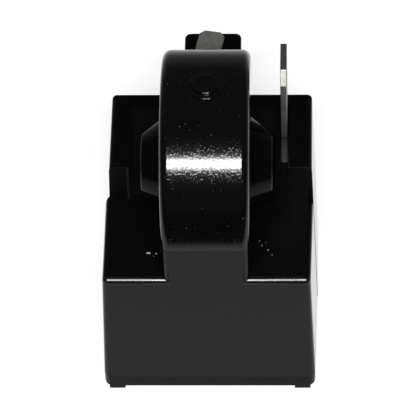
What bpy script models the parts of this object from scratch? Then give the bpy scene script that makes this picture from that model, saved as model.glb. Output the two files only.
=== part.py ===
"""Plug-on start relay of a refrigerator compressor.

A moulded black housing stands on a base lid. A drum on the housing holds a round resistor pill on edge
between two contact springs. Two sleeves over holes in the lid take the compressor's pins. A blade
terminal stands on the right and a second terminal lies on a tongue behind the drum.

Metres, +X right, +Y away from the front face, +Z up. Before the frame empty centres it, the front face
is the plane y = 0, the housing's middle is x = 0 and the feet stand on z = 0.
"""

import math

import bmesh
import bpy
from mathutils import Matrix, Vector

# Clearance between pieces that touch on the real product
GAP = 0.0003

# Base lid
FOOT_HEIGHT = 0.0005
FOOT_LENGTH = 0.002
FOOT_SIDE_INSET = 0.0006
FOOT_END_INSET = 0.0001
LID_THICKNESS = 0.00175
LID_CORNER_RADIUS = 0.0008
RIM_WALL = 0.001
RIM_HEIGHT = 0.002
COLLAR_WALL = 0.0008
COLLAR_HEIGHT = 0.0018

# Housing: a low front part, the shelf, and a taller block behind it
SHELF_WIDTH = 0.0258
SHELF_DEPTH = 0.0132
SHELF_HEIGHT = 0.0212
BLOCK_WIDTH = 0.0253
BLOCK_DEPTH = 0.01275
BLOCK_HEIGHT = 0.0274
BLOCK_SHIFT = 0.0004
DRAFT_ANGLE = math.radians(1.5)
EDGE_RADIUS = 0.0007
WALL = 0.0013

# The saddle cut into the block between its two corner posts
LEFT_POST_INNER_X = -0.0092
RIGHT_POST_INNER_X = 0.0085
SADDLE_FLOOR_DEPTH = 0.0012
SADDLE_REAR_RIM = 0.0011
GUIDE_WIDTH = 0.0016
GUIDE_LEAN = 0.0004

# Drum, its bosses and its vent
DRUM_RADIUS = 0.0143
DRUM_WIDTH = 0.011
DRUM_AXIS_HEIGHT = 0.0268
DRUM_FILLET = 0.0009
BOSS_RADIUS = 0.0056
BOSS_REACH = 0.0027
BOSS_END_RADIUS = 0.0036
BOSS_ROUNDING = 0.0005
VENT_RADIUS = 0.0016
VENT_CHAMFER = 0.0006

# Tongue behind the drum
TONGUE_WIDTH = 0.00725
TONGUE_SHIFT = 0.00035
TONGUE_THICKNESS = 0.0026
TONGUE_REACH = 0.0105
TONGUE_RADIUS = 0.0008

# Resistor pill and the contact springs on both sides of it
PILL_RADIUS = 0.01
PILL_THICKNESS = 0.0025
SPRING_PLATE_RADIUS = 0.0085
SPRING_THICKNESS = 0.0004
SPRING_FINGER_THICKNESS = 0.0003
SPRING_FINGER_WIDTH = 0.0022
SPRING_FINGER_ROOT = 0.0078
SPRING_FINGER_TIP = 0.0018
SPRING_FINGERS = 3
SPRING_TAIL_WIDTH = 0.003

# Pin sleeves and their clips
PIN_SPACING = 0.0122
PIN_RADIUS = 0.0016
SLEEVE_WALL = 0.0004
SLEEVE_LENGTH = 0.0098
SLEEVE_SLIT_ANGLE = math.radians(24)
CLIP_WALL = 0.0004
CLIP_LENGTH = 0.0028
CLIP_LIFT = 0.0022
CLIP_OPENING_ANGLE = math.radians(70)
WELD_LENGTH = 0.004

# Blade terminal, a standard 6.3 mm by 0.8 mm tab
BLADE_WIDTH = 0.0063
BLADE_THICKNESS = 0.0008
BLADE_FRONT_Y = 0.0182
BLADE_X = 0.0096
BLADE_RISE = 0.0114
BLADE_LEAN = math.radians(0.5)
BLADE_CHAMFER_WIDTH = 0.0009
BLADE_CHAMFER_HEIGHT = 0.0021
BLADE_HOLE_RADIUS = 0.0008
BLADE_HOLE_DROP = 0.0037
BLADE_JOG_HEIGHT = 0.0185

# Rear terminal and its rivet
TAB_WIDTH = 0.0032
TAB_THICKNESS = 0.0005
TAB_OVERHANG = -0.0004
TAB_CHAMFER = 0.0006
TAB_TURN = math.radians(-10)
RIVET_SHIFT = -0.0005
RIVET_SETBACK = 0.0051
RIVET_RADIUS = 0.0009
RIVET_HEAD_RADIUS = 0.0015
RIVET_HEAD_HEIGHT = 0.0007
LINK_THICKNESS = 0.0005

# Facets
DRUM_STEPS = 96
HOLE_STEPS = 32
FILLET_STEPS = 4

# Sizes and places that follow from the ones above
SEAM_BOTTOM = FOOT_HEIGHT + LID_THICKNESS
SEAM_TOP = SEAM_BOTTOM + GAP
HOUSING_DEPTH = SHELF_DEPTH + BLOCK_DEPTH
DRAFT = math.tan(DRAFT_ANGLE)
LID_WIDTH = SHELF_WIDTH + 2 * DRAFT * (SHELF_HEIGHT - SEAM_TOP)
CAVITY_HALF_WIDTH = SHELF_WIDTH / 2 - WALL - abs(BLOCK_SHIFT)
DRUM_Y = DRUM_RADIUS
CHAMBER_RADIUS = DRUM_RADIUS - WALL
CHAMBER_HALF_WIDTH = DRUM_WIDTH / 2 - WALL
BOSS_END = DRUM_WIDTH / 2 + BOSS_REACH
TONGUE_END = HOUSING_DEPTH + TONGUE_REACH
SLEEVE_RADIUS = PIN_RADIUS + SLEEVE_WALL
SLEEVE_TOP = SEAM_TOP + SLEEVE_LENGTH
PIN_X = PIN_SPACING / 2
PIN_Y = HOUSING_DEPTH / 2
WELD_BOTTOM = SLEEVE_TOP - WELD_LENGTH
SPLIT_HEIGHT = SLEEVE_TOP + 2 * GAP
SPRING_X = CHAMBER_HALF_WIDTH - GAP - SPRING_THICKNESS / 2
BLADE_TOP = BLOCK_HEIGHT + BLADE_RISE
BLADE_REAR_Y = BLADE_FRONT_Y + BLADE_WIDTH
BLADE_FOOT_X = PIN_X + SLEEVE_RADIUS + GAP + BLADE_THICKNESS / 2
RIVET_Y = TONGUE_END - RIVET_SETBACK
TAB_BOTTOM = BLOCK_HEIGHT + GAP

# Axes of the planes that flat outlines are drawn in: where u, v and the thickness point
ALONG_X = Matrix(((0, 0, 1), (1, 0, 0), (0, 1, 0))).to_4x4()
ALONG_Y = Matrix(((1, 0, 0), (0, 0, -1), (0, 1, 0))).to_4x4()
ALONG_Z = Matrix.Identity(4)


def start_scene():
    """Clears the scene and returns the parts' collection, the cutters' collection and the frame empty."""
    for old in list(bpy.data.objects):
        bpy.data.objects.remove(old)
    parts = bpy.data.collections.new("compressor_start_relay")
    cutters = bpy.data.collections.new("cutters")
    for collection in (parts, cutters):
        bpy.context.scene.collection.children.link(collection)
    frame = bpy.data.objects.new("frame", None)
    parts.objects.link(frame)
    return parts, cutters, frame


PARTS, CUTTERS, FRAME = start_scene()


def material(name, color, roughness, metallic=0.0):
    made = bpy.data.materials.new(name)
    made.use_nodes = True
    shader = made.node_tree.nodes["Principled BSDF"]
    shader.inputs["Base Color"].default_value = (*color, 1.0)
    shader.inputs["Roughness"].default_value = roughness
    shader.inputs["Metallic"].default_value = metallic
    return made


def add(name, mesh, place=None):
    """Adds a mesh as an object under the frame empty, set in place by a matrix."""
    made = bpy.data.objects.new(name, mesh)
    CUTTERS.objects.link(made)
    made.parent = FRAME
    if place is not None:
        made.matrix_local = place
    made.hide_render = True
    made.display_type = "WIRE"
    return made


def as_part(made, finish):
    """Moves a finished object from the cutters to the parts and gives it its material."""
    CUTTERS.objects.unlink(made)
    PARTS.objects.link(made)
    made.hide_render = False
    made.display_type = "TEXTURED"
    made.data.materials.append(finish)
    made.data.shade_smooth()
    made.data.set_sharp_from_angle(angle=math.radians(35))
    return made


def from_bmesh(name, bm, place=None):
    mesh = bpy.data.meshes.new(name)
    bm.to_mesh(mesh)
    bm.free()
    return add(name, mesh, place)


def box(name, low, high):
    bm = bmesh.new()
    bmesh.ops.create_cube(bm, size=1.0)
    size = Vector(high) - Vector(low)
    bmesh.ops.scale(bm, vec=size, verts=bm.verts)
    bmesh.ops.translate(bm, vec=(Vector(low) + Vector(high)) / 2, verts=bm.verts)
    return from_bmesh(name, bm)


def rod(name, radius, low, high, axis, centre, steps=HOLE_STEPS, end_radius=None):
    """A cylinder, or a cone where its far end has a radius of its own, along X or Z."""
    bm = bmesh.new()
    bmesh.ops.create_cone(
        bm,
        cap_ends=True,
        segments=steps,
        radius1=radius,
        radius2=radius if end_radius is None else end_radius,
        depth=high - low,
    )
    middle = (low + high) / 2
    if axis == "X":
        place = Matrix.Translation((middle, *centre)) @ Matrix.Rotation(math.pi / 2, 4, "Y")
    else:
        place = Matrix.Translation((*centre, middle))
    return from_bmesh(name, bm, place)


def extruded(name, outline, low, high, axes):
    """A flat outline made solid from low to high along the axis that the outline's plane faces."""
    curve = bpy.data.curves.new(name, "CURVE")
    curve.dimensions = "2D"
    curve.fill_mode = "BOTH"
    curve.extrude = (high - low) / 2
    spline = curve.splines.new("POLY")
    spline.points.add(len(outline) - 1)
    for point, (u, v) in zip(spline.points, outline):
        point.co = (u, v, 0.0, 1.0)
    spline.use_cyclic_u = True
    flat = bpy.data.objects.new(name, curve)
    CUTTERS.objects.link(flat)
    bpy.context.view_layer.update()
    mesh = bpy.data.meshes.new_from_object(flat.evaluated_get(bpy.context.evaluated_depsgraph_get()))
    bpy.data.objects.remove(flat)
    thickness_axis = axes.to_3x3() @ Vector((0.0, 0.0, 1.0))
    sign = 1.0 if sum(thickness_axis) > 0 else -1.0
    place = Matrix.Translation(thickness_axis * sign * (low + high) / 2) @ axes
    bm = bmesh.new()
    bm.from_mesh(mesh)
    bmesh.ops.remove_doubles(bm, verts=bm.verts, dist=1e-7)
    bmesh.ops.transform(bm, matrix=place, verts=bm.verts)
    bmesh.ops.recalc_face_normals(bm, faces=bm.faces)
    bm.to_mesh(mesh)
    bm.free()
    return add(name, mesh)


def sheet(name, path, low, high, thickness, axes, place=None):
    """A strip of sheet metal: a path in one plane, as wide as low to high, thickened on both sides."""
    bm = bmesh.new()
    points = [bm.verts.new(axes @ Vector((u, v, low))) for u, v in path]
    edges = [bm.edges.new(pair) for pair in zip(points, points[1:])]
    swept = bmesh.ops.extrude_edge_only(bm, edges=edges)
    moved = [item for item in swept["geom"] if isinstance(item, bmesh.types.BMVert)]
    bmesh.ops.translate(bm, vec=axes.to_3x3() @ Vector((0.0, 0.0, high - low)), verts=moved)
    made = from_bmesh(name, bm, place)
    thick = made.modifiers.new("thickness", "SOLIDIFY")
    thick.thickness = thickness
    thick.offset = 0.0
    thick.use_even_offset = True
    return made


def bevel(made, width, chosen=None, steps=FILLET_STEPS):
    """Rounds the edges whose middle passes the test, or every edge sharper than 40 degrees."""
    bm = bmesh.new()
    bm.from_mesh(made.data)
    if chosen is None:
        edges = [e for e in bm.edges if e.calc_face_angle(0.0) > math.radians(40)]
    else:
        edges = [e for e in bm.edges if e.calc_face_angle(0.0) > math.radians(40) and chosen(e)]
    bmesh.ops.bevel(
        bm,
        geom=edges,
        offset=width,
        offset_type="OFFSET",
        segments=steps,
        profile=0.5,
        affect="EDGES",
        clamp_overlap=True,
    )
    bm.to_mesh(made.data)
    bm.free()
    return made


def boolean(target, tool, operation):
    step = target.modifiers.new(tool.name, "BOOLEAN")
    step.operation = operation
    step.object = tool
    step.solver = "EXACT"


def join(target, *tools):
    for tool in tools:
        boolean(target, tool, "UNION")


def cut(target, *tools):
    for tool in tools:
        boolean(target, tool, "DIFFERENCE")


def arc(centre, radius, start, end, steps):
    """Points on an arc from one angle to another, both ends included."""
    angles = [start + (end - start) * i / steps for i in range(steps + 1)]
    return [(centre[0] + radius * math.cos(a), centre[1] + radius * math.sin(a)) for a in angles]


def rounded_rectangle(low, high, radius, steps=FILLET_STEPS):
    corners = (
        ((high[0] - radius, high[1] - radius), 0.0),
        ((low[0] + radius, high[1] - radius), 0.5),
        ((low[0] + radius, low[1] + radius), 1.0),
        ((high[0] - radius, low[1] + radius), 1.5),
    )
    outline = []
    for centre, turn in corners:
        outline += arc(centre, radius, turn * math.pi, (turn + 0.5) * math.pi, steps)
    return outline


def drafted_outline(top_width, top, bottom, shift=0.0):
    """Front view of a block whose sides lean in by the draft angle from bottom to top."""
    half_top = top_width / 2
    half_bottom = half_top + DRAFT * (top - bottom)
    return [
        (shift - half_bottom, bottom),
        (shift + half_bottom, bottom),
        (shift + half_top, top),
        (shift - half_top, top),
    ]


def edge_middle(edge):
    return (edge.verts[0].co + edge.verts[1].co) / 2


# The housing, made from the outside inwards


def shelf_body():
    """The low front part, with a sharp edge where its top meets the block."""
    body = extruded(
        "shelf_body",
        drafted_outline(SHELF_WIDTH, SHELF_HEIGHT, 0.0),
        0.0,
        SHELF_DEPTH + EDGE_RADIUS,
        ALONG_Y,
    )
    rear = SHELF_DEPTH + EDGE_RADIUS / 2

    def rounded(edge):
        middle = edge_middle(edge)
        along_x = abs(edge.verts[0].co.x - edge.verts[1].co.x) > SHELF_WIDTH / 2
        return middle.z > 0 and not (along_x and middle.y > rear)

    return bevel(body, EDGE_RADIUS, rounded)


def rear_block():
    """The block with its saddle cut out between the corner posts, and a leaning guide before the blade."""
    block = extruded(
        "rear_block",
        drafted_outline(BLOCK_WIDTH, BLOCK_HEIGHT, 0.0, BLOCK_SHIFT),
        SHELF_DEPTH,
        HOUSING_DEPTH,
        ALONG_Y,
    )
    bevel(block, EDGE_RADIUS)
    above = BLOCK_HEIGHT + WALL
    before = SHELF_DEPTH - WALL
    ramp_foot = SHELF_DEPTH + SADDLE_FLOOR_DEPTH
    ramp_head = HOUSING_DEPTH - SADDLE_REAR_RIM
    slope = (ramp_head - ramp_foot) / (BLOCK_HEIGHT - SHELF_HEIGHT)
    saddle = extruded(
        "saddle",
        [
            (before, SHELF_HEIGHT),
            (ramp_foot, SHELF_HEIGHT),
            (ramp_head + slope * WALL, above),
            (before, above),
        ],
        LEFT_POST_INNER_X,
        RIGHT_POST_INNER_X,
        ALONG_X,
    )
    guide = extruded(
        "guide_lean",
        [
            (before, SHELF_HEIGHT),
            (SHELF_DEPTH, SHELF_HEIGHT),
            (SHELF_DEPTH + EDGE_RADIUS + GUIDE_LEAN, above),
            (before, above),
        ],
        RIGHT_POST_INNER_X - WALL,
        RIGHT_POST_INNER_X + GUIDE_WIDTH,
        ALONG_X,
    )
    cut(block, saddle, guide)
    return block


def drum_outline(radius, front, foot, rear=None):
    """Side view of the drum: straight up the front to the axis, then round over the top to the rear."""
    centre = (DRUM_Y, DRUM_AXIS_HEIGHT)
    end = -math.pi / 2 if rear is None else -math.acos((rear - DRUM_Y) / radius)
    over = arc(centre, radius, math.pi, end, round(DRUM_STEPS * (math.pi - end) / (2 * math.pi)))
    last = [] if rear is None else [(rear, foot)]
    return [(front, foot)] + over + last


def drum():
    outline = drum_outline(DRUM_RADIUS, 0.0, DRUM_AXIS_HEIGHT - DRUM_RADIUS)
    made = extruded("drum", outline, -DRUM_WIDTH / 2, DRUM_WIDTH / 2, ALONG_X)
    return bevel(made, DRUM_FILLET)


def boss(name, side):
    """A boss on one side of the drum, which tapers to a smaller flat end."""
    centre = (DRUM_Y, DRUM_AXIS_HEIGHT)
    taper = (BOSS_RADIUS - BOSS_END_RADIUS) / BOSS_REACH
    root_x = (DRUM_WIDTH - WALL) / 2
    root_radius = BOSS_RADIUS + taper * WALL / 2
    if side < 0:
        cone = rod(name, BOSS_END_RADIUS, -BOSS_END, -root_x, "X", centre, DRUM_STEPS // 2, root_radius)
    else:
        cone = rod(name, root_radius, root_x, BOSS_END, "X", centre, DRUM_STEPS // 2, BOSS_END_RADIUS)
    return bevel(cone, BOSS_ROUNDING)


def tongue():
    half = TONGUE_WIDTH / 2
    outline = rounded_rectangle(
        (TONGUE_SHIFT - half, HOUSING_DEPTH - WALL),
        (TONGUE_SHIFT + half, TONGUE_END),
        TONGUE_RADIUS,
    )
    made = extruded("tongue", outline, BLOCK_HEIGHT - TONGUE_THICKNESS, BLOCK_HEIGHT, ALONG_Z)
    return bevel(made, TONGUE_RADIUS / 3, steps=2)


def chamber():
    """The hollow of the drum, open down to the seam."""
    outline = drum_outline(CHAMBER_RADIUS, WALL, 0.0, HOUSING_DEPTH - WALL)
    return extruded("chamber", outline, -CHAMBER_HALF_WIDTH, CHAMBER_HALF_WIDTH, ALONG_X)


def boss_hollow():
    reach = BOSS_END - WALL
    return rod("boss_hollow", BOSS_END_RADIUS - WALL / 2, -reach, reach, "X", (DRUM_Y, DRUM_AXIS_HEIGHT))


def lower_cavity():
    return box(
        "lower_cavity",
        (-CAVITY_HALF_WIDTH, WALL, -WALL),
        (CAVITY_HALF_WIDTH, HOUSING_DEPTH - WALL, SPLIT_HEIGHT),
    )


def side_bay(name, inner, outer):
    """A bay beside the drum's walls, whose ceiling follows the shelf and then the saddle's ramp."""
    ceiling = SHELF_HEIGHT - WALL
    rear = HOUSING_DEPTH - WALL
    ramp_foot = SHELF_DEPTH + SADDLE_FLOOR_DEPTH + WALL
    outline = [
        (WALL, SPLIT_HEIGHT - WALL),
        (rear, SPLIT_HEIGHT - WALL),
        (rear, BLOCK_HEIGHT - 2 * WALL),
        (ramp_foot, ceiling),
        (WALL, ceiling),
    ]
    return extruded(name, outline, min(inner, outer), max(inner, outer), ALONG_X)


def vent():
    top = DRUM_AXIS_HEIGHT + DRUM_RADIUS
    bore = rod("vent_bore", VENT_RADIUS, top - 2 * WALL, top + WALL, "Z", (0.0, DRUM_Y))
    mouth = rod(
        "vent_mouth",
        VENT_RADIUS,
        top - VENT_CHAMFER,
        top + VENT_CHAMFER,
        "Z",
        (0.0, DRUM_Y),
        end_radius=VENT_RADIUS + 2 * VENT_CHAMFER,
    )
    return bore, mouth


def blade_slot():
    half = BLADE_THICKNESS / 2 + GAP
    return box(
        "blade_slot",
        (BLADE_X - half, BLADE_FRONT_Y - GAP, SHELF_HEIGHT - 2 * WALL),
        (BLADE_X + half, BLADE_REAR_Y + GAP, BLOCK_HEIGHT + WALL),
    )


def tab_slot():
    """The way of the rear terminal out of the drum's rear wall, turned with the terminal."""
    low = DRUM_Y + CHAMBER_RADIUS - WALL - RIVET_Y
    slot = box(
        "tab_slot",
        (-TAB_WIDTH / 2 - GAP, low, BLOCK_HEIGHT),
        (TAB_WIDTH / 2 + GAP, low + 3 * WALL, TAB_BOTTOM + TAB_THICKNESS + GAP),
    )
    slot.matrix_local = tab_place()
    return slot


def tab_place():
    """The rear terminal is turned about its rivet."""
    return Matrix.Translation((RIVET_SHIFT, RIVET_Y, 0.0)) @ Matrix.Rotation(TAB_TURN, 4, "Z")


def housing(finish):
    body = rear_block()
    body.name = "housing"
    join(body, shelf_body(), drum(), boss("left_boss", -1), boss("right_boss", 1), tongue())
    cut(
        body,
        chamber(),
        boss_hollow(),
        lower_cavity(),
        side_bay("left_bay", -DRUM_WIDTH / 2, -CAVITY_HALF_WIDTH),
        side_bay("right_bay", DRUM_WIDTH / 2, CAVITY_HALF_WIDTH),
        *vent(),
        blade_slot(),
        tab_slot(),
        rod(
            "rivet_hole",
            RIVET_RADIUS + GAP,
            BLOCK_HEIGHT - TONGUE_THICKNESS - WALL,
            BLOCK_HEIGHT + WALL,
            "Z",
            (RIVET_SHIFT, RIVET_Y),
        ),
        box("seam_trim", (-LID_WIDTH, -WALL, -WALL), (LID_WIDTH, 2 * HOUSING_DEPTH, SEAM_TOP)),
    )
    return as_part(body, finish)


# The base lid


def base_lid(finish):
    half = LID_WIDTH / 2
    lid = extruded(
        "base_lid",
        rounded_rectangle((-half, 0.0), (half, HOUSING_DEPTH), LID_CORNER_RADIUS),
        FOOT_HEIGHT,
        SEAM_BOTTOM,
        ALONG_Z,
    )
    rim_x = CAVITY_HALF_WIDTH - GAP
    rim_low = (-rim_x, WALL + GAP)
    rim_high = (rim_x, HOUSING_DEPTH - WALL - GAP)
    inset = Vector((RIM_WALL, RIM_WALL))
    rim = extruded(
        "lid_rim",
        rounded_rectangle(rim_low, rim_high, LID_CORNER_RADIUS),
        SEAM_BOTTOM - LID_THICKNESS / 2,
        SEAM_BOTTOM + RIM_HEIGHT,
        ALONG_Z,
    )
    rim_inside = box(
        "lid_rim_inside",
        (*(Vector(rim_low) + inset), SEAM_BOTTOM),
        (*(Vector(rim_high) - inset), SEAM_BOTTOM + 2 * RIM_HEIGHT),
    )
    cut(rim, rim_inside)
    join(lid, rim)
    for side, x in (("start", -PIN_X), ("run", PIN_X)):
        collar = rod(
            side + "_collar",
            SLEEVE_RADIUS + GAP + COLLAR_WALL,
            SEAM_BOTTOM - LID_THICKNESS / 2,
            SEAM_BOTTOM + COLLAR_HEIGHT,
            "Z",
            (x, PIN_Y),
        )
        seat = rod(
            side + "_seat",
            SLEEVE_RADIUS + GAP,
            SEAM_BOTTOM,
            SEAM_BOTTOM + 2 * COLLAR_HEIGHT,
            "Z",
            (x, PIN_Y),
        )
        hole = rod(side + "_pin_hole", PIN_RADIUS + GAP, -WALL, SEAM_TOP + WALL, "Z", (x, PIN_Y))
        cut(collar, seat)
        join(lid, collar)
        cut(lid, hole)
    for side in (-1, 1):
        for end in (0, 1):
            outer_x = side * (half - FOOT_SIDE_INSET)
            inner_x = outer_x - side * FOOT_LENGTH
            low_y = FOOT_END_INSET + end * (HOUSING_DEPTH - FOOT_LENGTH - 2 * FOOT_END_INSET)
            foot = box(
                f"foot_{side}_{end}",
                (min(outer_x, inner_x), low_y, 0.0),
                (max(outer_x, inner_x), low_y + FOOT_LENGTH, SEAM_BOTTOM - LID_THICKNESS / 2),
            )
            join(lid, foot)
    return as_part(lid, finish)


# The electrical pieces inside


def ptc_pill(finish):
    half = PILL_THICKNESS / 2
    pill = rod("ptc_pill", PILL_RADIUS, -half, half, "X", (DRUM_Y, DRUM_AXIS_HEIGHT), DRUM_STEPS // 2)
    return as_part(bevel(pill, GAP, steps=2), finish)


def contact_spring(name, side, finish):
    """A round plate with lanced fingers that reach the pill, and a tail down to the pin sleeve."""
    centre = (DRUM_Y, DRUM_AXIS_HEIGHT)
    half = SPRING_THICKNESS / 2
    plate_x = side * SPRING_X
    plate = rod(name, SPRING_PLATE_RADIUS, plate_x - half, plate_x + half, "X", centre, DRUM_STEPS // 2)
    tail = box(
        name + "_tail",
        (plate_x - half, PIN_Y - SPRING_TAIL_WIDTH / 2, WELD_BOTTOM),
        (plate_x + half, PIN_Y + SPRING_TAIL_WIDTH / 2, DRUM_AXIS_HEIGHT - SPRING_PLATE_RADIUS * 0.8),
    )
    join(plate, tail)
    tip_x = side * (PILL_THICKNESS / 2 + GAP + SPRING_FINGER_THICKNESS / 2)
    path = [
        (plate_x, SPRING_FINGER_ROOT),
        (plate_x, SPRING_FINGER_ROOT - SPRING_FINGER_WIDTH / 2),
        (tip_x, SPRING_FINGER_TIP + SPRING_FINGER_WIDTH),
        (tip_x, SPRING_FINGER_TIP),
    ]
    half_finger = SPRING_FINGER_WIDTH / 2
    for number in range(SPRING_FINGERS):
        turn = Matrix.Translation((0.0, *centre)) @ Matrix.Rotation(
            2 * math.pi * number / SPRING_FINGERS, 4, "X"
        )
        window = box(
            f"{name}_window_{number}",
            (plate_x - 2 * half, -half_finger - GAP, SPRING_FINGER_TIP),
            (plate_x + 2 * half, half_finger + GAP, SPRING_FINGER_ROOT - half_finger),
        )
        window.matrix_local = turn
        finger = sheet(
            f"{name}_finger_{number}",
            path,
            -half_finger,
            half_finger,
            SPRING_FINGER_THICKNESS,
            ALONG_Y,
            turn,
        )
        cut(plate, window)
        join(plate, finger)
    return as_part(plate, finish)


def sleeve(name, x, finish):
    """A rolled tube with a slit at the front, which grips the compressor's pin."""
    radius = PIN_RADIUS + SLEEVE_WALL / 2
    slit = SLEEVE_SLIT_ANGLE / 2
    start = -math.pi / 2 + slit
    path = arc((0.0, 0.0), radius, start, start + 2 * math.pi - 2 * slit, HOLE_STEPS)
    place = Matrix.Translation((x, PIN_Y, 0.0))
    return as_part(sheet(name, path, SEAM_TOP, SLEEVE_TOP, SLEEVE_WALL, ALONG_Z, place), finish)


def clip(name, x, finish):
    """An open spring ring round the lower part of a sleeve."""
    radius = SLEEVE_RADIUS + GAP + CLIP_WALL / 2
    opening = CLIP_OPENING_ANGLE / 2
    start = -math.pi / 2 + opening
    path = arc((0.0, 0.0), radius, start, start + 2 * math.pi - 2 * opening, HOLE_STEPS)
    low = SEAM_TOP + CLIP_LIFT
    place = Matrix.Translation((x, PIN_Y, 0.0))
    return as_part(sheet(name, path, low, low + CLIP_LENGTH, CLIP_WALL, ALONG_Z, place), finish)


def blade_terminal(finish):
    """A joggled blank: the tab above, and a foot that runs forward beside the run pin's sleeve."""
    lean = math.tan(BLADE_LEAN)
    foot_front = PIN_Y - SLEEVE_RADIUS
    path = [
        (BLADE_X - lean * (BLADE_RISE + GAP), BLADE_TOP + GAP),
        (BLADE_X, BLOCK_HEIGHT),
        (BLADE_X, BLADE_JOG_HEIGHT),
        (BLADE_FOOT_X, BLADE_JOG_HEIGHT - 2 * (BLADE_X - BLADE_FOOT_X)),
        (BLADE_FOOT_X, WELD_BOTTOM - GAP),
    ]
    blade = sheet(
        "blade_terminal", path, -BLADE_REAR_Y - GAP, GAP - foot_front, BLADE_THICKNESS, ALONG_Y
    )
    blank = extruded(
        "blade_blank",
        [
            (foot_front, WELD_BOTTOM),
            (BLADE_REAR_Y, WELD_BOTTOM),
            (BLADE_REAR_Y, BLADE_TOP - BLADE_CHAMFER_HEIGHT),
            (BLADE_REAR_Y - BLADE_CHAMFER_WIDTH, BLADE_TOP),
            (BLADE_FRONT_Y + BLADE_CHAMFER_WIDTH, BLADE_TOP),
            (BLADE_FRONT_Y, BLADE_TOP - BLADE_CHAMFER_HEIGHT),
            (BLADE_FRONT_Y, SLEEVE_TOP + 2 * GAP),
            (foot_front, SLEEVE_TOP),
        ],
        0.0,
        2 * BLADE_X,
        ALONG_X,
    )
    boolean(blade, blank, "INTERSECT")
    hole = rod(
        "blade_hole",
        BLADE_HOLE_RADIUS,
        BLADE_X - 2 * BLADE_THICKNESS,
        BLADE_X + 2 * BLADE_THICKNESS,
        "X",
        ((BLADE_FRONT_Y + BLADE_REAR_Y) / 2, BLADE_TOP - BLADE_HOLE_DROP),
        16,
    )
    cut(blade, hole)
    return as_part(blade, finish)


def rear_terminal(finish):
    """A strip that comes up inside the drum's rear wall and lies on the tongue, under its rivet."""
    tab_z = TAB_BOTTOM + TAB_THICKNESS / 2
    tip = TONGUE_END + TAB_OVERHANG - RIVET_Y
    radius = CHAMBER_RADIUS - GAP - TAB_THICKNESS
    centre = (DRUM_Y - RIVET_Y, DRUM_AXIS_HEIGHT)
    low_angle = -math.radians(42)
    down = arc(centre, radius, 0.0, low_angle, 8)
    path = [(tip, tab_z), (down[0][0], tab_z)] + down + [(down[-1][0], WELD_BOTTOM)]
    half = TAB_WIDTH / 2
    strip = sheet("rear_terminal", path, -half, half, TAB_THICKNESS, ALONG_X, tab_place())
    hole = rod(
        "tab_rivet_hole",
        RIVET_RADIUS + GAP,
        BLOCK_HEIGHT,
        BLOCK_HEIGHT + 2 * WALL,
        "Z",
        (RIVET_SHIFT, RIVET_Y),
    )
    cut(strip, hole)
    for side in (-1, 1):
        corner = extruded(
            f"tab_corner_{side}",
            [
                (side * (half - TAB_CHAMFER), tip),
                (side * (half + TAB_CHAMFER), tip + WALL),
                (side * (half + TAB_CHAMFER), tip - 2 * TAB_CHAMFER),
            ][::side],
            BLOCK_HEIGHT,
            BLOCK_HEIGHT + 2 * WALL,
            ALONG_Z,
        )
        corner.matrix_local = tab_place()
        cut(strip, corner)
    return as_part(strip, finish)


def terminal_rivet(finish):
    """A rivet through the tongue, with its head on the terminal and its tail spread below."""
    centre = (RIVET_SHIFT, RIVET_Y)
    head_bottom = TAB_BOTTOM + TAB_THICKNESS + GAP
    tail_top = BLOCK_HEIGHT - TONGUE_THICKNESS - GAP
    shank = rod("terminal_rivet", RIVET_RADIUS, tail_top - GAP, head_bottom + GAP, "Z", centre)
    head = rod(
        "rivet_head", RIVET_HEAD_RADIUS, head_bottom, head_bottom + RIVET_HEAD_HEIGHT, "Z", centre
    )
    bevel(head, RIVET_HEAD_HEIGHT / 2, lambda edge: edge_middle(edge).z > 0)
    tail = rod("rivet_tail", RIVET_HEAD_RADIUS, tail_top - RIVET_HEAD_HEIGHT, tail_top, "Z", centre)
    join(shank, head, tail)
    return as_part(shank, finish)


def start_link(finish):
    """An upright strip from the rear terminal's foot round to the outer flank of the start pin's sleeve."""
    flank_x = -PIN_X - SLEEVE_RADIUS - GAP - LINK_THICKNESS / 2
    rear_y = DRUM_Y + (CHAMBER_RADIUS - TAB_THICKNESS) * math.cos(math.radians(42)) - 4 * GAP
    path = [
        (flank_x, PIN_Y - SLEEVE_RADIUS),
        (flank_x, rear_y - LINK_THICKNESS),
        (flank_x + LINK_THICKNESS, rear_y),
        (-CHAMBER_HALF_WIDTH / 4, rear_y),
    ]
    strip = sheet("start_link", path, WELD_BOTTOM, SLEEVE_TOP, LINK_THICKNESS, ALONG_Z)
    return as_part(strip, finish)


def build():
    black = material("black_moulding", (0.012, 0.012, 0.013), 0.22)
    lid_black = material("black_lid", (0.014, 0.014, 0.015), 0.3)
    ceramic = material("silvered_ceramic", (0.55, 0.54, 0.5), 0.5)
    spring_steel = material("spring_steel", (0.62, 0.61, 0.58), 0.3, 1.0)
    brass = material("brass", (0.78, 0.6, 0.3), 0.3, 1.0)
    tin = material("tinned_brass", (0.72, 0.71, 0.67), 0.28, 1.0)
    housing(black)
    base_lid(lid_black)
    ptc_pill(ceramic)
    contact_spring("start_contact_spring", -1, spring_steel)
    contact_spring("run_contact_spring", 1, spring_steel)
    sleeve("start_pin_sleeve", -PIN_X, brass)
    sleeve("run_pin_sleeve", PIN_X, brass)
    clip("start_sleeve_clip", -PIN_X, spring_steel)
    clip("run_sleeve_clip", PIN_X, spring_steel)
    blade_terminal(tin)
    rear_terminal(tin)
    terminal_rivet(brass)
    start_link(brass)
    left = -LID_WIDTH / 2
    right = BLOCK_SHIFT + BLOCK_WIDTH / 2 + DRAFT * (BLOCK_HEIGHT - SEAM_TOP)
    turned_tip = (TONGUE_END + TAB_OVERHANG - RIVET_Y) * math.cos(TAB_TURN)
    corner = (TAB_WIDTH / 2 - TAB_CHAMFER) * abs(math.sin(TAB_TURN))
    rear = max(TONGUE_END, RIVET_Y + turned_tip + corner)
    FRAME.location = (-(left + right) / 2, -rear / 2, 0.0)


build()
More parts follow.
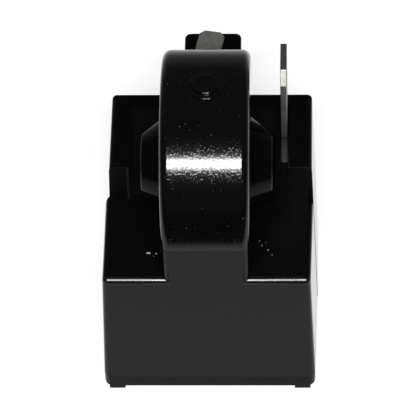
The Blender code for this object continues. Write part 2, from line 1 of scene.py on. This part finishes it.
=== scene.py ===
"""Dressed scene of a compressor's plug-on start relay, on a white table under one soft lamp."""

import math

import bpy
from mathutils import Matrix, Vector


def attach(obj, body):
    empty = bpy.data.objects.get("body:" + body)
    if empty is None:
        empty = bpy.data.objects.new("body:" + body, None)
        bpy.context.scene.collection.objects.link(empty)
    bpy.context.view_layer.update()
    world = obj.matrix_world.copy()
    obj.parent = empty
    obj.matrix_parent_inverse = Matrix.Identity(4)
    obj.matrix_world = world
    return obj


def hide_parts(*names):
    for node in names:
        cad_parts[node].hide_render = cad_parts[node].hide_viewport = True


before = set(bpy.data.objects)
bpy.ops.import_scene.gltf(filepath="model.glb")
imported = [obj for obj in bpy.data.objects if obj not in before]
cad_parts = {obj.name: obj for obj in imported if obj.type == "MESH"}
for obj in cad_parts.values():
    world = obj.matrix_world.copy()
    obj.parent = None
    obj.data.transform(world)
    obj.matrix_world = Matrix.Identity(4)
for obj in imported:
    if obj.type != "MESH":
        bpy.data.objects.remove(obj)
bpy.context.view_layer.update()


# Housing. The real one is a single glossy black moulding: a shelf in front, a taller block with a
# saddle between two corner posts, a drum that carries the resistor pill on edge, two tapered bosses
# on the drum's sides and a tongue behind. It snaps onto the lid below.

MIDDLE_X = -0.000156
FRONT_Y = -0.018225
SEAM_TOP = 0.00255
SHELF_TOP = 0.0212
BLOCK_TOP = 0.0274
BLOCK_REAR = 0.02595
REAR_Y = FRONT_Y + BLOCK_REAR
ABOVE_BLOCK = BLOCK_TOP + 0.001
DRAFT = math.tan(math.radians(1.5))

# How near to a plane or a line counts as on it
EXACT = 1e-6
CLOSE = 1e-5
NEAR = 1e-4


def deselect_all():
    if bpy.context.object is not None and bpy.context.object.mode != "OBJECT":
        bpy.ops.object.mode_set(mode="OBJECT")
    bpy.ops.object.select_all(action="DESELECT")


def only(piece):
    """Makes one piece the selected and active one."""
    deselect_all()
    piece.select_set(True)
    bpy.context.view_layer.objects.active = piece


def block(name, low, high):
    """A block between two corners, in the housing's own measures from its front face and middle."""
    deselect_all()
    low = Vector(low) + Vector((MIDDLE_X, FRONT_Y, 0.0))
    high = Vector(high) + Vector((MIDDLE_X, FRONT_Y, 0.0))
    bpy.ops.mesh.primitive_cube_add(size=1.0, location=(low + high) / 2)
    piece = bpy.context.object
    piece.name = name
    piece.scale = high - low
    bpy.ops.object.transform_apply(location=True, rotation=True, scale=True)
    return piece


def round_bar(name, radius, end_radius, low, high, centre, axis="X", corners=96):
    """A bar or cone between two places on the X or Z axis, in the housing's own measures."""
    deselect_all()
    middle = (low + high) / 2
    if axis == "X":
        place = (MIDDLE_X + middle, FRONT_Y + centre[0], centre[1])
        turn = (0.0, math.pi / 2, 0.0)
    else:
        place = (MIDDLE_X + centre[0], FRONT_Y + centre[1], middle)
        turn = (0.0, 0.0, 0.0)
    bpy.ops.mesh.primitive_cone_add(
        vertices=corners,
        radius1=radius,
        radius2=end_radius,
        depth=high - low,
        location=place,
        rotation=turn,
    )
    piece = bpy.context.object
    piece.name = name
    bpy.ops.object.transform_apply(location=True, rotation=True, scale=True)
    return piece


def pick(piece, kind, wanted):
    """Goes into edit mode with the corners, edges or faces selected that pass a test."""
    only(piece)
    bpy.ops.object.mode_set(mode="EDIT")
    bpy.ops.mesh.select_mode(type=kind)
    bpy.ops.mesh.select_all(action="DESELECT")
    bpy.ops.object.mode_set(mode="OBJECT")
    mesh = piece.data
    if kind == "FACE":
        for face in mesh.polygons:
            face.select = wanted(face.center, face.normal)
    elif kind == "EDGE":
        for edge in mesh.edges:
            start, end = (mesh.vertices[i].co for i in edge.vertices)
            edge.select = wanted((start + end) / 2, end - start)
    else:
        for corner in mesh.vertices:
            corner.select = wanted(corner.co, corner.normal)
    bpy.ops.object.mode_set(mode="EDIT")


def shape_done():
    bpy.ops.object.mode_set(mode="OBJECT")


def shift_corners(piece, shift, wanted):
    """Moves the corners that pass a test."""
    pick(piece, "VERT", wanted)
    bpy.ops.transform.translate(value=shift)
    shape_done()


def round_edges(piece, radius, wanted, steps=5):
    """Rounds the edges that pass a test on their middle and their direction."""
    pick(piece, "EDGE", wanted)
    bpy.ops.mesh.bevel(
        offset=radius, offset_pct=0, segments=steps, profile=0.5, affect="EDGES", clamp_overlap=True
    )
    shape_done()


def draft_sides(piece, top, bottom):
    """Leans the left and right walls of a block in towards its top, as a mould needs."""
    middle = sum((corner.co.x for corner in piece.data.vertices)) / len(piece.data.vertices)
    half = max(corner.co.x for corner in piece.data.vertices) - middle
    wider = (half + DRAFT * (top - bottom)) / half
    pick(piece, "VERT", lambda co, normal: co.z < bottom + CLOSE)
    bpy.ops.transform.resize(value=(wider, 1.0, 1.0), center_override=(middle, 0.0, bottom))
    shape_done()


def combine(piece, tool, operation):
    """Joins a tool shape to a piece or cuts it away, and removes the tool."""
    only(piece)
    step = piece.modifiers.new("combine", "BOOLEAN")
    step.operation = operation
    step.object = tool
    step.solver = "EXACT"
    bpy.ops.object.modifier_apply(modifier=step.name)
    bpy.data.objects.remove(tool)


def smooth(piece, angle=28):
    """Smooth faces with sharp edges past an angle, and flat faces that keep their own normal."""
    only(piece)
    bpy.ops.object.shade_smooth_by_angle(angle=math.radians(angle))
    weighted = piece.modifiers.new("flat faces", "WEIGHTED_NORMAL")
    weighted.mode = "FACE_AREA"
    weighted.weight = 100
    weighted.keep_sharp = True
    bpy.ops.object.modifier_apply(modifier=weighted.name)


# The shelf, with its edges rounded except where its top runs into the block
shelf_depth = 0.0132
shelf_half = 0.0129
shelf_overlap = 0.0009
shelf = block(
    "shelf",
    (-shelf_half, 0.0, SEAM_TOP),
    (shelf_half, shelf_depth + shelf_overlap, SHELF_TOP),
)
draft_sides(shelf, SHELF_TOP, SEAM_TOP)
shelf_rear = FRONT_Y + shelf_depth + 0.0003
# Its right side swells gently from the front back to the wider block
side_swell = 0.0003
shift_corners(shelf, (side_swell, 0.0, 0.0), lambda co, normal: co.x > 0.0 and co.y > shelf_rear)
round_edges(
    shelf,
    0.0007,
    lambda middle, along: middle.z > SEAM_TOP + NEAR
    and not (abs(along.x) > 0.01 and middle.y > shelf_rear),
)
round_edges(
    shelf,
    0.00012,
    lambda middle, along: middle.z < SEAM_TOP + CLOSE and middle.y < shelf_rear,
    steps=3,
)

# The block behind it, a little wider than the shelf on its right side
block_shift = 0.0004
block_half = 0.01265
body = block(
    "housing_body",
    (block_shift - block_half, shelf_depth, SEAM_TOP),
    (block_shift + block_half, BLOCK_REAR, BLOCK_TOP),
)
draft_sides(body, BLOCK_TOP, SEAM_TOP)
block_front = FRONT_Y + shelf_depth
round_edges(
    body,
    0.0006,
    lambda middle, along: middle.z > SEAM_TOP + NEAR and middle.y > block_front + NEAR,
)
round_edges(
    body,
    0.00006,
    lambda middle, along: middle.y < block_front + CLOSE
    and middle.z > BLOCK_TOP - CLOSE
    and abs(along.x) > 0.01,
    steps=3,
)

# The saddle: its floor starts level with the shelf and then climbs to the block's rear wall
cut_front = shelf_depth - 0.002
saddle = block("saddle", (-0.0098, cut_front, SHELF_TOP), (0.0085, 0.02485, ABOVE_BLOCK))
floor_slope = -0.01045
shift_corners(
    saddle,
    (0.0, floor_slope, 0.0),
    lambda co, normal: co.z < SHELF_TOP + CLOSE and co.y > 0.0,
)
combine(body, saddle, "DIFFERENCE")

# The narrow guide beside the blade leans back a little
guide_low_x = 0.0075
guide_lean = 0.001
guide = block("guide_lean", (guide_low_x, cut_front, SHELF_TOP), (0.0101, shelf_depth, ABOVE_BLOCK))
shift_corners(
    guide,
    (0.0, guide_lean, 0.0),
    lambda co, normal: co.z > BLOCK_TOP and co.y > FRONT_Y + shelf_depth - NEAR,
)
combine(body, guide, "DIFFERENCE")
combine(body, shelf, "UNION")

# The drum: a circle whose lower front quarter is pulled flat into the housing's front face
drum_radius = 0.0143
drum_axis_z = 0.0268
drum_half = 0.0055
deselect_all()
bpy.ops.mesh.primitive_circle_add(
    vertices=256,
    radius=drum_radius,
    fill_type="NGON",
    location=(MIDDLE_X - drum_half, FRONT_Y + drum_radius, drum_axis_z),
    rotation=(0.0, math.pi / 2, 0.0),
)
drum = bpy.context.object
drum.name = "drum"
bpy.ops.object.transform_apply(location=True, rotation=True, scale=True)
drum_y = FRONT_Y + drum_radius
diagonal = drum_radius * math.sqrt(0.5)
corner_y, corner_z = drum_y - diagonal, drum_axis_z - diagonal
pick(
    drum,
    "VERT",
    lambda co, normal: co.z < drum_axis_z - EXACT
    and co.y < drum_y - EXACT
    and math.hypot(co.y - corner_y, co.z - corner_z) > CLOSE,
)
bpy.ops.mesh.dissolve_verts()
shape_done()
shift_corners(
    drum,
    (0.0, FRONT_Y - corner_y, drum_axis_z - drum_radius - corner_z),
    lambda co, normal: math.hypot(co.y - corner_y, co.z - corner_z) < CLOSE,
)
only(drum)
bpy.ops.object.mode_set(mode="EDIT")
bpy.ops.mesh.select_all(action="SELECT")
bpy.ops.mesh.extrude_region_move(TRANSFORM_OT_translate={"value": (2 * drum_half, 0.0, 0.0)})
bpy.ops.mesh.select_all(action="SELECT")
bpy.ops.mesh.normals_make_consistent(inside=False)
shape_done()
round_edges(
    drum,
    0.0011,
    lambda middle, along: abs(abs(middle.x - MIDDLE_X) - drum_half) < EXACT and abs(along.x) < EXACT,
    steps=8,
)
combine(body, drum, "UNION")

# A tapered boss on each side of the drum
boss_root_radius = 0.0064
boss_end_radius = 0.0041
boss_root = 0.0051
boss_end = 0.0082
for side in (-1, 1):
    boss = round_bar(
        "boss",
        boss_root_radius if side > 0 else boss_end_radius,
        boss_end_radius if side > 0 else boss_root_radius,
        min(side * boss_root, side * boss_end),
        max(side * boss_root, side * boss_end),
        (drum_radius, drum_axis_z - 0.0001),
    )
    outer = MIDDLE_X + side * boss_end
    round_edges(boss, 0.00025, lambda middle, along: abs(middle.x - outer) < CLOSE)
    combine(body, boss, "UNION")

# The tongue behind the drum carries the flat terminal
tongue = block("tongue", (-0.003275, 0.0247, BLOCK_TOP - 0.0026), (0.003975, 0.03645, BLOCK_TOP))
round_edges(tongue, 0.0008, lambda middle, along: abs(along.z) > 1e-3 and middle.y > REAR_Y)
round_edges(
    tongue,
    0.0002,
    lambda middle, along: abs(along.z) < EXACT and middle.y > REAR_Y - 0.0005,
    steps=2,
)
combine(body, tongue, "UNION")

# The slot that the blade stands in, a little wider than the blade
blade_slot = block("blade_slot", (0.00905, 0.0181, 0.0186), (0.01015, 0.0246, ABOVE_BLOCK))
combine(body, blade_slot, "DIFFERENCE")
body.name = "relay_housing"
smooth(body)

# A low round button on the drum's top: a disc on a wider rim, both with rounded edges
drum_top = drum_axis_z + drum_radius
button_base = drum_top - 0.001
button_centre = (0.00015, drum_radius)
button = round_bar(
    "button", 0.00165, 0.00165, button_base, drum_top + 0.00045, button_centre, axis="Z"
)
round_edges(button, 0.0002, lambda middle, along: middle.z > drum_top + 0.0004)
button_rim = round_bar(
    "button_rim", 0.0023, 0.0023, button_base, drum_top + 0.0001, button_centre, axis="Z"
)
round_edges(button_rim, 0.00015, lambda middle, along: middle.z > drum_top)
combine(button, button_rim, "UNION")
smooth(button)
only(body)
button.select_set(True)
bpy.ops.object.join()


def add_node(tree, kind, inputs, **settings):
    """Adds a shader node. Each input that is named takes a value or another node's output."""
    made = tree.nodes.new("ShaderNode" + kind)
    for setting, value in settings.items():
        setattr(made, setting, value)
    for socket, value in inputs.items():
        if isinstance(value, bpy.types.NodeSocket):
            tree.links.new(value, made.inputs[socket])
        else:
            made.inputs[socket].default_value = value
    return made


def reckon(tree, operation, *values):
    """One step of arithmetic on numbers and outputs."""
    return add_node(tree, "Math", dict(enumerate(values)), operation=operation).outputs["Value"]


def ramp(tree, value, low, high, start=0.0, end=1.0, shape="LINEAR"):
    """Maps the range from low to high onto the range from start to end."""
    ends = {"Value": value, "From Min": low, "From Max": high, "To Min": start, "To Max": end}
    return add_node(tree, "MapRange", ends, interpolation_type=shape).outputs["Result"]


def object_place(tree):
    return add_node(tree, "TexCoord", {}).outputs["Object"]


def blend(tree, share, colour, other):
    """Mixes two colours, each a triple or another node's output."""
    ends = {"Factor": share}
    for socket, tone in (("A", colour), ("B", other)):
        ends[socket] = tone if isinstance(tone, bpy.types.NodeSocket) else (*tone, 1.0)
    return add_node(tree, "Mix", ends, data_type="RGBA").outputs["Result"]


def lay_over(finish, cover, colour):
    """Covers the finish's own colour with another one, as far as a mask says."""
    tree = finish.node_tree
    base = tree.nodes["Principled BSDF"].inputs["Base Color"]
    tree.links.new(blend(tree, cover, base.links[0].from_socket, colour), base)


def moulded_finish(name, roughness, specular, relief_scale, relief_low, relief_depth):
    """Black plastic as it leaves the mould: a faint mottle, and small dents of the mould's own surface."""
    made = bpy.data.materials.new(name)
    made.use_nodes = True
    tree = made.node_tree
    plastic = tree.nodes["Principled BSDF"]
    plastic.inputs["IOR"].default_value = 1.5
    plastic.inputs["Specular IOR Level"].default_value = specular
    plastic.inputs["Roughness"].default_value = roughness
    place = object_place(tree)
    mottle = add_node(tree, "TexNoise", {"Vector": place, "Scale": 320.0, "Detail": 4.0})
    black = blend(tree, mottle.outputs["Fac"], (0.0016,) * 3, (0.0026,) * 3)
    tree.links.new(black, plastic.inputs["Base Color"])
    dents = add_node(tree, "TexNoise", {"Vector": place, "Scale": relief_scale, "Detail": 2.0})
    sparse = ramp(tree, dents.outputs["Fac"], relief_low, relief_low + 0.2, shape="SMOOTHSTEP")
    relief = add_node(tree, "Bump", {"Strength": 1.0, "Distance": relief_depth, "Height": sparse})
    tree.links.new(relief.outputs["Normal"], plastic.inputs["Normal"])
    return made


def dress(piece, *finishes):
    """Gives a piece its finishes, in place of any it has."""
    piece.data.materials.clear()
    for finish in finishes:
        piece.data.materials.append(finish)


# The drum and its bosses come from a polished mould, the outer walls from a plainer one, and the
# flat faces round the posts from a finely textured one
polished_black = moulded_finish("polished_black", 0.125, 0.5, 4400.0, 0.52, 0.0000052)
moulded_black = moulded_finish("moulded_black", 0.16, 0.3, 1800.0, 0.5, 0.000002)
textured_black = moulded_finish("textured_black", 0.45, 0.11, 6000.0, 0.4, 0.000004)
smooth_black = moulded_finish("smooth_black", 0.12, 0.14, 900.0, 0.5, 0.000001)
edge_black = moulded_finish("edge_black", 0.28, 0.8, 1800.0, 0.5, 0.000003)

# A few specks of dust and nicks on the shelf and round the bosses catch the light. Each has its
# place on the shelf and its radius.
specks = (
    (-0.0074, 0.0045, 0.00016),
    (-0.00715, 0.0045, 0.00019),
    (-0.0063, 0.0044, 0.00012),
    (-0.0066, 0.0040, 0.00006),
    (0.0068, 0.0057, 0.00009),
    (0.0076, 0.0050, 0.00010),
    (0.0081, 0.0042, 0.00008),
    (0.0073, 0.0062, 0.00006),
    (0.0065, 0.0065, 0.00008),
)
speck_wobble = 0.0002
tree = textured_black.node_tree
place = object_place(tree)
wobble = add_node(tree, "TexNoise", {"Vector": place, "Scale": 5000.0})
wobbled = add_node(
    tree,
    "VectorMath",
    {0: wobble.outputs["Color"], 1: (speck_wobble, speck_wobble, 0.0), 2: place},
    operation="MULTIPLY_ADD",
)
covered = None
for x, y, radius in specks:
    centre = (x + MIDDLE_X + speck_wobble / 2, y + FRONT_Y + speck_wobble / 2, SHELF_TOP)
    away = add_node(
        tree, "VectorMath", {0: wobbled.outputs["Vector"], 1: centre}, operation="DISTANCE"
    )
    speck = ramp(tree, away.outputs["Value"], radius, radius * 0.6)
    covered = speck if covered is None else reckon(tree, "MAXIMUM", covered, speck)
# A painted highlight: the left post's inner edge is painted a little lighter, standing in for its
# reflection of the lit drum beside it. The same grey colours the dust specks above.
sides = add_node(tree, "SeparateXYZ", {"Vector": place})
near_edge = reckon(tree, "COMPARE", sides.outputs["X"], MIDDLE_X - 0.00995, 0.00015)
painted_edge_highlight = ramp(tree, sides.outputs["Z"], SHELF_TOP + 0.0003, SHELF_TOP + 0.0006, end=0.02)
lay_over(
    textured_black, reckon(tree, "MULTIPLY_ADD", near_edge, painted_edge_highlight, covered), (0.42, 0.42, 0.42)
)

# Painted glints: small points of uneven brightness are painted lighter into the polished drum's colour,
# standing in for the flecks of light round its highlight
tree = polished_black.node_tree
points = add_node(tree, "TexVoronoi", {"Vector": object_place(tree), "Scale": 1300.0})
painted_glints = ramp(tree, points.outputs["Distance"], 0.11, 0.05)
parts = add_node(tree, "SeparateColor", {"Color": points.outputs["Color"]})
lay_over(
    polished_black, reckon(tree, "MULTIPLY", painted_glints, parts.outputs["Red"]), (0.1, 0.1, 0.105)
)

housing_finishes = (moulded_black, polished_black, textured_black, smooth_black, edge_black)
dress(body, *housing_finishes)
for face in body.data.polygons:
    x, y, z = face.center.x - MIDDLE_X, face.center.y - FRONT_Y, face.center.z
    over_axis = z > drum_axis_z or y > 0.0005
    above_shelf = z > SHELF_TOP + NEAR
    on_drum = abs(x) < drum_half + CLOSE and above_shelf and over_axis and face.normal.z > -0.2
    from_axis = math.hypot(y - drum_radius, z - drum_axis_z)
    on_boss = drum_half < abs(x) < 0.0083 and from_axis < boss_root_radius + 0.0002
    level_top = face.normal.z > 0.995 and z < BLOCK_TOP + NEAR
    post_top = z > BLOCK_TOP - CLOSE and y > shelf_depth + 0.0002
    post_front = face.normal.y < -0.995 and abs(y - shelf_depth) < NEAR and z > SHELF_TOP
    post_lip = abs(y - shelf_depth) < 1.5e-4 and abs(z - BLOCK_TOP) < NEAR
    guide_depth = shelf_depth - NEAR < y < shelf_depth + 0.0011
    guide_front = guide_low_x < x < 0.0102 and guide_depth and z > SHELF_TOP
    shelf_edge = y < 0.0008 and z > SHELF_TOP - 0.0008 and abs(x) > drum_half
    in_saddle = z > SHELF_TOP + 0.0005 and shelf_depth + 0.0005 < y < 0.025 and abs(x) < 0.0105
    if shelf_edge and not level_top:
        finish = edge_black
    elif (level_top and not post_top) or post_front or guide_front or post_lip:
        finish = textured_black
    elif on_boss or (level_top and post_top):
        finish = smooth_black
    elif on_drum:
        finish = polished_black
    elif in_saddle:
        finish = smooth_black
    else:
        finish = moulded_black
    face.material_index = housing_finishes.index(finish)
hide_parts("housing")
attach(body, "root")


# Base lid. A flat black moulding that closes the housing from below and stands on four small feet.
# The compressor's two pins pass through it. It shows as a band under a fine seam.

lid_half = shelf_half + DRAFT * (SHELF_TOP - SEAM_TOP)
lid = block("relay_lid", (-lid_half, 0.0, 0.0005), (lid_half, BLOCK_REAR, 0.00247))
round_edges(lid, 0.0011, lambda middle, along: abs(along.z) > 1e-3)
round_edges(lid, 0.00015, lambda middle, along: abs(along.z) < EXACT, steps=3)
foot_length = 0.002
for foot_x in (-lid_half + 0.0006, lid_half - 0.0026):
    for foot_y in (0.0001, 0.02385):
        foot = block(
            "foot", (foot_x, foot_y, 0.0), (foot_x + foot_length, foot_y + foot_length, 0.001)
        )
        combine(lid, foot, "UNION")
for pin_x in (-0.0061, 0.0061):
    pin_hole = round_bar(
        "pin_hole", 0.0019, 0.0019, -0.001, 0.003, (pin_x, 0.012975), axis="Z", corners=64
    )
    combine(lid, pin_hole, "DIFFERENCE")
smooth(lid)
lid_black = moulded_finish("lid_black", 0.2, 0.2, 1800.0, 0.5, 0.000003)
dress(lid, lid_black)
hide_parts("base_lid")
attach(lid, "root")


# Blade terminal. A tab stamped from tinned brass, which stands in a slot of the right post and takes a
# push-on connector. Its front corner is clipped more than its rear one. Its tin is painted darker towards
# the housing, as painted shade where it stands low beside the post.


def metal(name, bright, dull, roughness, grain_scale):
    """Stamped metal, with a grain that varies its colour, its sheen and its surface a little."""
    made = bpy.data.materials.new(name)
    made.use_nodes = True
    tree = made.node_tree
    shader = tree.nodes["Principled BSDF"]
    shader.inputs["Metallic"].default_value = 1.0
    texture = {"Vector": object_place(tree), "Scale": grain_scale, "Detail": 5.0}
    grain = add_node(tree, "TexNoise", texture).outputs["Fac"]
    sheen = ramp(tree, grain, 0.0, 1.0, roughness - 0.08, roughness + 0.08)
    relief = add_node(tree, "Bump", {"Strength": 0.3, "Distance": 0.00003, "Height": grain})
    tree.links.new(blend(tree, grain, dull, bright), shader.inputs["Base Color"])
    tree.links.new(sheen, shader.inputs["Roughness"])
    tree.links.new(relief.outputs["Normal"], shader.inputs["Normal"])
    return made


tinned = metal("tinned_brass", (0.62, 0.61, 0.57), (0.34, 0.33, 0.31), 0.4, 3200.0)
# Painted shade: the tin's colour darkens from the post's top down towards the housing
tree = tinned.node_tree
heights = add_node(tree, "SeparateXYZ", {"Vector": object_place(tree)})
lay_over(
    tinned, ramp(tree, heights.outputs["Z"], 0.0272, 0.0335, 0.85, 0.0), (0.05, 0.05, 0.048)
)

blade_front = 0.0182
blade_front_y = FRONT_Y + blade_front
blade_top = 0.03845
clip_bottom = 0.0367
front_clip = 0.001235
blade = block("relay_blade", (0.0092, blade_front, 0.0186), (0.01, 0.0245, blade_top))
pick(
    blade,
    "EDGE",
    lambda middle, along: middle.z > blade_top - CLOSE
    and abs(along.x) > CLOSE
    and middle.y < blade_front_y + CLOSE,
)
bpy.ops.transform.translate(value=(0.0, front_clip, 0.0))
shape_done()
pick(blade, "FACE", lambda co, normal: True)
bpy.ops.mesh.bisect(plane_co=(0.0, 0.0, clip_bottom), plane_no=(0.0, 0.0, 1.0))
shape_done()
pick(
    blade,
    "VERT",
    lambda co, normal: abs(co.z - clip_bottom) < EXACT and co.y < blade_front_y + 0.003,
)
bpy.ops.transform.resize(value=(1.0, 0.0, 1.0), center_override=(0.0, blade_front_y, clip_bottom))
shape_done()
pick(
    blade,
    "EDGE",
    lambda middle, along: middle.z > blade_top - CLOSE
    and abs(along.x) > CLOSE
    and middle.y > blade_front_y + 0.005,
)
bpy.ops.mesh.bevel(offset=0.0006, offset_pct=0, segments=1, affect="EDGES")
shape_done()
shift_corners(blade, (-0.00004, 0.0, 0.0), lambda co, normal: co.z > BLOCK_TOP)
round_edges(blade, 0.00008, lambda middle, along: True, steps=2)
blade_hole = round_bar("blade_hole", 0.0008, 0.0008, 0.008, 0.012, (0.02135, 0.0351), corners=32)
combine(blade, blade_hole, "DIFFERENCE")
smooth(blade)
dress(blade, tinned)
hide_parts("blade_terminal")
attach(blade, "root")


# Terminal rivet. A plain brass rivet that holds the flat terminal on the tongue, with a low domed
# head at each end. The drum hides it from the front.

brass = metal("plain_brass", (0.72, 0.53, 0.25), (0.55, 0.4, 0.18), 0.35, 1500.0)
rivet_centre = (-0.0005, 0.03135)
rivet = round_bar(
    "relay_rivet", 0.0009, 0.0009, 0.0245, 0.0283, rivet_centre, axis="Z", corners=48
)
for low, high, rim in ((0.0242, 0.0247, 0.0242), (0.0282, 0.0285, 0.0285)):
    head = round_bar(
        "rivet_head", 0.00125, 0.00125, low, high, rivet_centre, axis="Z", corners=48
    )
    round_edges(head, 0.00015, lambda middle, along: abs(middle.z - rim) < EXACT, steps=3)
    combine(rivet, head, "UNION")
smooth(rivet)
dress(rivet, brass)
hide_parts("terminal_rivet")
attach(rivet, "root")


# Flat terminal and the pieces held inside, in the solids' own shapes. The flat terminal is tinned
# brass, the sleeves and the link are plain brass, the springs and clips are sprung steel, and the
# resistor pill is a ceramic disc with silvered faces.

tinned_tab = metal("tinned_tab", (0.8, 0.8, 0.76), (0.6, 0.6, 0.56), 0.5, 2000.0)
spring_steel = metal("spring_steel", (0.6, 0.59, 0.57), (0.42, 0.42, 0.4), 0.32, 1500.0)
silvered = metal("silvered_face", (0.7, 0.69, 0.66), (0.5, 0.49, 0.46), 0.5, 2500.0)
finishes = {
    "rear_terminal": tinned_tab,
    "start_link": brass,
    "start_pin_sleeve": brass,
    "run_pin_sleeve": brass,
    "start_sleeve_clip": spring_steel,
    "run_sleeve_clip": spring_steel,
    "start_contact_spring": spring_steel,
    "run_contact_spring": spring_steel,
    "ptc_pill": silvered,
}
for cad_node, finish in finishes.items():
    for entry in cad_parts[cad_node].material_slots:
        entry.material = finish


# Table and backdrop: one white sheet. The camera sees it a little over white, so that only the deep
# shadow beside the object shows. Gloss sees it as a glow that is brightest near the object.

deselect_all()
bpy.ops.mesh.primitive_plane_add(size=3.0, location=(0.0, 0.0, 0.0))
table = bpy.context.object
table.name = "table"
white = bpy.data.materials.new("white_table")
white.use_nodes = True
tree = white.node_tree
tree.nodes.clear()
seen_by = add_node(tree, "LightPath", {})
plain = add_node(tree, "BsdfDiffuse", {"Color": (0.8, 0.8, 0.8, 1.0)})
glow = add_node(tree, "Emission", {"Color": (1.0, 1.0, 1.0, 1.0), "Strength": 0.6})
lifted = add_node(tree, "AddShader", {0: plain.outputs["BSDF"], 1: glow.outputs["Emission"]})
place = object_place(tree)
depths = add_node(tree, "SeparateXYZ", {"Vector": place}).outputs["Y"]
front_fade = ramp(tree, depths, FRONT_Y - 0.038, FRONT_Y - 0.028, shape="SMOOTHSTEP")
side_rise = ramp(tree, depths, FRONT_Y - 0.002, FRONT_Y + 0.012, 0.68, 1.2, shape="SMOOTHSTEP")
reach = add_node(tree, "VectorMath", {0: place}, operation="LENGTH").outputs["Value"]
far_level = reckon(tree, "MAXIMUM", reckon(tree, "DIVIDE", 0.046, reach), 0.17)
level = reckon(tree, "MINIMUM", far_level, side_rise)
mirror_glow = add_node(
    tree, "Emission", {"Strength": reckon(tree, "MULTIPLY", front_fade, level)}
)
for_gloss = add_node(
    tree,
    "MixShader",
    {
        "Fac": seen_by.outputs["Is Glossy Ray"],
        1: plain.outputs["BSDF"],
        2: mirror_glow.outputs["Emission"],
    },
)
for_camera = add_node(
    tree,
    "MixShader",
    {
        "Fac": seen_by.outputs["Is Camera Ray"],
        1: for_gloss.outputs["Shader"],
        2: lifted.outputs["Shader"],
    },
)
add_node(tree, "OutputMaterial", {"Surface": for_camera.outputs["Shader"]})
table.data.materials.append(white)


# Light: one soft box above the camera, and a faint grey room that is a little brighter low down
# behind the object. The camera sees the room as white.

room = bpy.data.worlds.new("room")
bpy.context.scene.world = room
room.use_nodes = True
tree = room.node_tree
tree.nodes.clear()
seen_by = add_node(tree, "LightPath", {})
ways = add_node(tree, "TexCoord", {}).outputs["Generated"]
split = add_node(tree, "SeparateXYZ", {"Vector": ways})
wall = ramp(tree, split.outputs["Z"], 0.0, 0.3, 0.115, 0.02)
behind = ramp(tree, split.outputs["Y"], 0.0, 0.3)
room_level = reckon(tree, "MULTIPLY_ADD", wall, behind, 0.035)
grey = add_node(tree, "Background", {"Color": (1.0, 1.0, 1.0, 1.0), "Strength": room_level})
bright = add_node(tree, "Background", {"Color": (1.0, 1.0, 1.0, 1.0), "Strength": 1.0})
choice = add_node(
    tree,
    "MixShader",
    {
        "Fac": seen_by.outputs["Is Camera Ray"],
        1: grey.outputs["Background"],
        2: bright.outputs["Background"],
    },
)
add_node(tree, "OutputWorld", {"Surface": choice.outputs["Shader"]})

lamp_aim = Vector((0.0, 0.0, 0.028))
lamp_height = math.radians(47.9)
lamp_turn = math.radians(2.6)
lamp_distance = 0.6
lamp_side = Vector((math.sin(lamp_turn), -math.cos(lamp_turn), 0.0)) * math.cos(lamp_height)
lamp_place = lamp_aim + (lamp_side + Vector((0.0, 0.0, math.sin(lamp_height)))) * lamp_distance
box_light = bpy.data.lights.new("soft_box", "AREA")
box_light.shape = "RECTANGLE"
box_light.size = 0.344
box_light.size_y = 0.1
box_light.energy = 4.1
soft_box = bpy.data.objects.new("soft_box", box_light)
bpy.context.scene.collection.objects.link(soft_box)
soft_box.location = lamp_place
soft_box.rotation_euler = (lamp_aim - lamp_place).to_track_quat("-Z", "Y").to_euler()


# Camera: far off with a long lens, on the right of the middle and looking down at about 49 degrees

camera_data = bpy.data.cameras.new("camera")
camera_data.lens = 338.26
camera_data.sensor_width = 36.0
camera_data.clip_start = 0.05
camera_data.clip_end = 10.0
camera = bpy.data.objects.new("camera", camera_data)
bpy.context.scene.collection.objects.link(camera)
look_down = math.radians(48.56)
camera.matrix_world = (
    Matrix.Translation((0.015201, -0.333693, 0.392091))
    @ Matrix.Rotation(math.radians(2.644), 4, "Z")
    @ Matrix.Rotation(math.radians(90.0) - look_down, 4, "X")
    @ Matrix.Rotation(math.radians(-2.055), 4, "Z")
)
bpy.context.scene.camera = camera
bpy.context.scene.view_settings.view_transform = "Standard"
